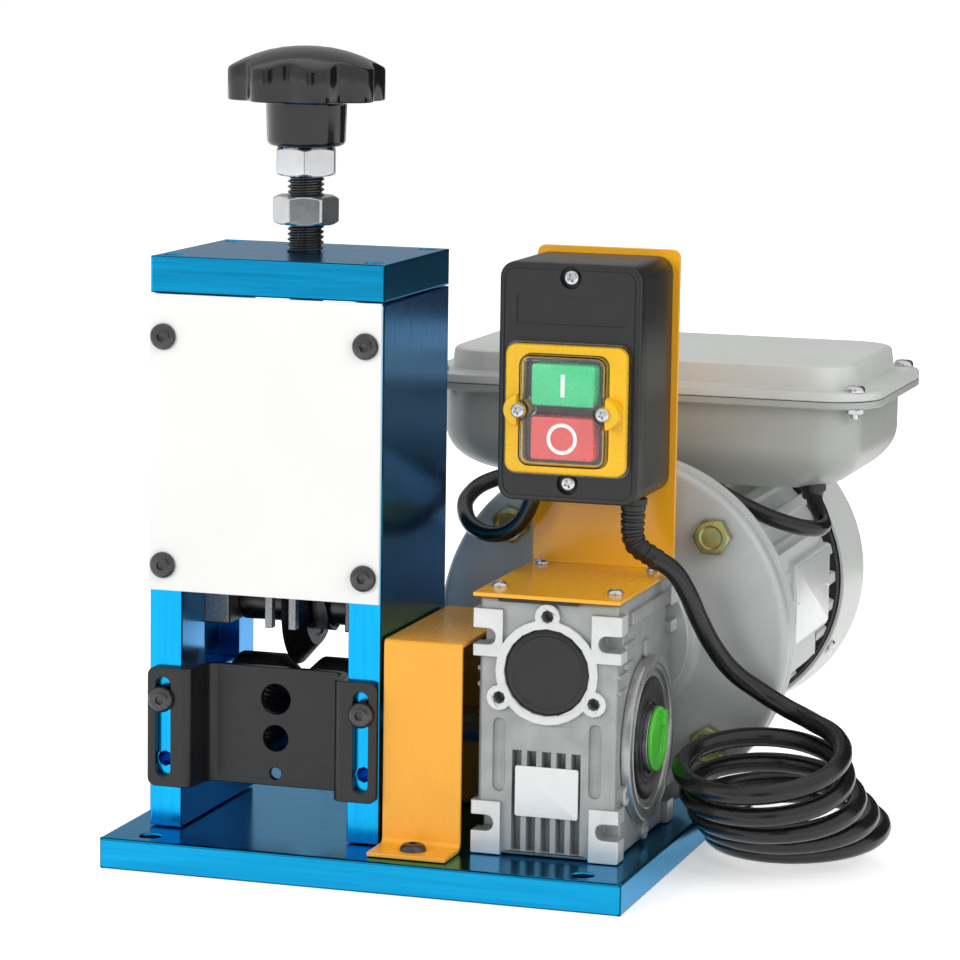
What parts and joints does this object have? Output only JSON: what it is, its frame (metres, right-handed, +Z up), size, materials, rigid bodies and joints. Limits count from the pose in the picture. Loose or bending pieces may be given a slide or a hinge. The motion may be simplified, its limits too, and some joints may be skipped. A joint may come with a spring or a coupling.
{
  "type": "wire stripping machine",
  "caption": "Bench wire stripping machine: tower with grooved feed roller and hand-set round blade, driven by a motor through a worm gearbox, with switch box and coiled cord.",
  "frame": {"origin": "centre of the base plate's underside, on the surface the machine stands on", "axes": "+X to the machine's right from the feed roller to the gearbox, +Y to its back along the motor, +Z up"},
  "size_m": [0.2791, 0.2966, 0.308],
  "materials": {
    "blue_anodised": "brushed and blue anodised, satin",
    "white_sheet": "white, satin",
    "black_oxide": "black oxide on steel, satin",
    "black_paint": "black, semi-gloss",
    "orange_paint": "light orange powder coat, satin",
    "amber_paint": "amber powder coat, satin",
    "block_grey": "machined, light grey, satin",
    "tool_steel": "ground and turned steel, satin",
    "bright_zinc": "bright zinc plate",
    "olive_zinc": "olive-gold passivated zinc",
    "cast_aluminium": "blasted casting with machined faces",
    "motor_grey": "blasted aluminium and grey paint, satin",
    "bronze": "machined bronze",
    "charcoal_plastic": "fine texture",
    "knob_plastic": "gloss",
    "yellow_plastic": "gloss",
    "clear_plastic": "clear moulded plastic",
    "green_plastic": "gloss",
    "red_plastic": "gloss",
    "plug_green": "soft moulded plastic",
    "cord_rubber": "glossy black sheath"
  },
  "bodies": {
    "frame": {"base_plate": "blue_anodised", "left_side_plate": "blue_anodised", "right_side_plate": "blue_anodised", "top_plate": "blue_anodised", "front_cover_plate": "white_sheet", "cover_screw_1": "black_oxide", "cover_screw_2": "black_oxide", "cover_screw_3": "black_oxide", "cover_screw_4": "black_oxide", "guide_screw_left": "black_oxide", "guide_screw_right": "black_oxide", "gearbox_end_cap": "black_paint", "coupling_cover": "orange_paint", "switch_bracket": "amber_paint", "feed_bearing_left": "tool_steel", "feed_bearing_right": "tool_steel", "flange_bolt_1": "olive_zinc", "flange_bolt_2": "olive_zinc", "flange_bolt_3": "olive_zinc", "flange_bolt_4": "olive_zinc", "gearbox_housing": "cast_aluminium", "gearbox_side_cover": "cast_aluminium", "input_flange": "cast_aluminium", "motor_end_shield": "motor_grey", "motor_rear_shield": "motor_grey", "motor_housing": "motor_grey", "fan_cowl": "motor_grey", "terminal_box": "motor_grey", "terminal_box_lid": "motor_grey", "switch_box": "charcoal_plastic", "switch_lid": "charcoal_plastic", "switch_frame": "yellow_plastic", "clear_cover": "clear_plastic", "motor_lead": "cord_rubber", "cord_gland": "cord_rubber", "power_cord": "cord_rubber", "cord_coil": "cord_rubber", "mains_plug": "cord_rubber"},
    "rotor": {"motor_rotor": "tool_steel", "worm": "tool_steel", "cooling_fan": "black_paint"},
    "feed": {"feed_shaft": "tool_steel", "feed_roller": "tool_steel", "hollow_output_shaft": "tool_steel", "worm_wheel": "bronze", "bore_plug": "plug_green"},
    "carriage": {"crosshead": "block_grey", "left_bearing_block": "block_grey", "right_bearing_block": "block_grey", "scraper_fork": "tool_steel"},
    "blade": {"upper_shaft": "tool_steel", "cutter_blade": "tool_steel", "blade_nut": "tool_steel"},
    "knob": {"star_knob": "knob_plastic", "adjusting_screw": "black_oxide", "knob_jam_nut": "bright_zinc"},
    "lock_nut_body": {"lock_nut": "bright_zinc"},
    "guide": {"guide_plate": "black_paint"},
    "start_button_body": {"start_button": "green_plastic"},
    "stop_button_body": {"stop_button": "red_plastic"}
  },
  "joints": [
    {"name": "rotor_spin", "type": "hinge", "parent": "frame", "child": "rotor", "pos_m": [0.06475, -0.018, 0.0823], "axis": [0, 1, 0], "continuous": true},
    {"name": "feed_spin", "type": "hinge", "parent": "frame", "child": "feed", "pos_m": [-0.04525, -0.018, 0.0523], "axis": [1, 0, 0], "continuous": true},
    {"name": "knob_turn", "type": "hinge", "parent": "carriage", "child": "knob", "pos_m": [-0.04525, -0.018, 0.137], "axis": [0, 0, 1], "range_deg": [-720, 3600]},
    {"name": "blade_height", "type": "slide", "parent": "frame", "child": "carriage", "axis": [0, 0, 1], "range_m": [-0.004, 0.02]},
    {"name": "blade_spin", "type": "hinge", "parent": "carriage", "child": "blade", "pos_m": [-0.04525, -0.018, 0.095], "axis": [1, 0, 0], "continuous": true},
    {"name": "lock_nut_travel", "type": "slide", "parent": "knob", "child": "lock_nut_body", "axis": [0, 0, 1], "range_m": [-0.006, 0.007]},
    {"name": "guide_slide", "type": "slide", "parent": "frame", "child": "guide", "axis": [0, 0, 1], "range_m": [-0.005, 0.0265]},
    {"name": "start_button_press", "type": "slide", "parent": "frame", "child": "start_button_body", "axis": [0, 1, 0], "range_m": [0, 0.003], "stiffness_N_per_m": 500},
    {"name": "stop_button_press", "type": "slide", "parent": "frame", "child": "stop_button_body", "axis": [0, 1, 0], "range_m": [0, 0.003], "stiffness_N_per_m": 500}
  ],
  "couplings": [
    {"joint": "feed_spin", "follows": "rotor_spin", "ratio": -0.066667},
    {"joint": "knob_turn", "follows": "blade_height", "rad_per_m": 3141.6}
  ]
}
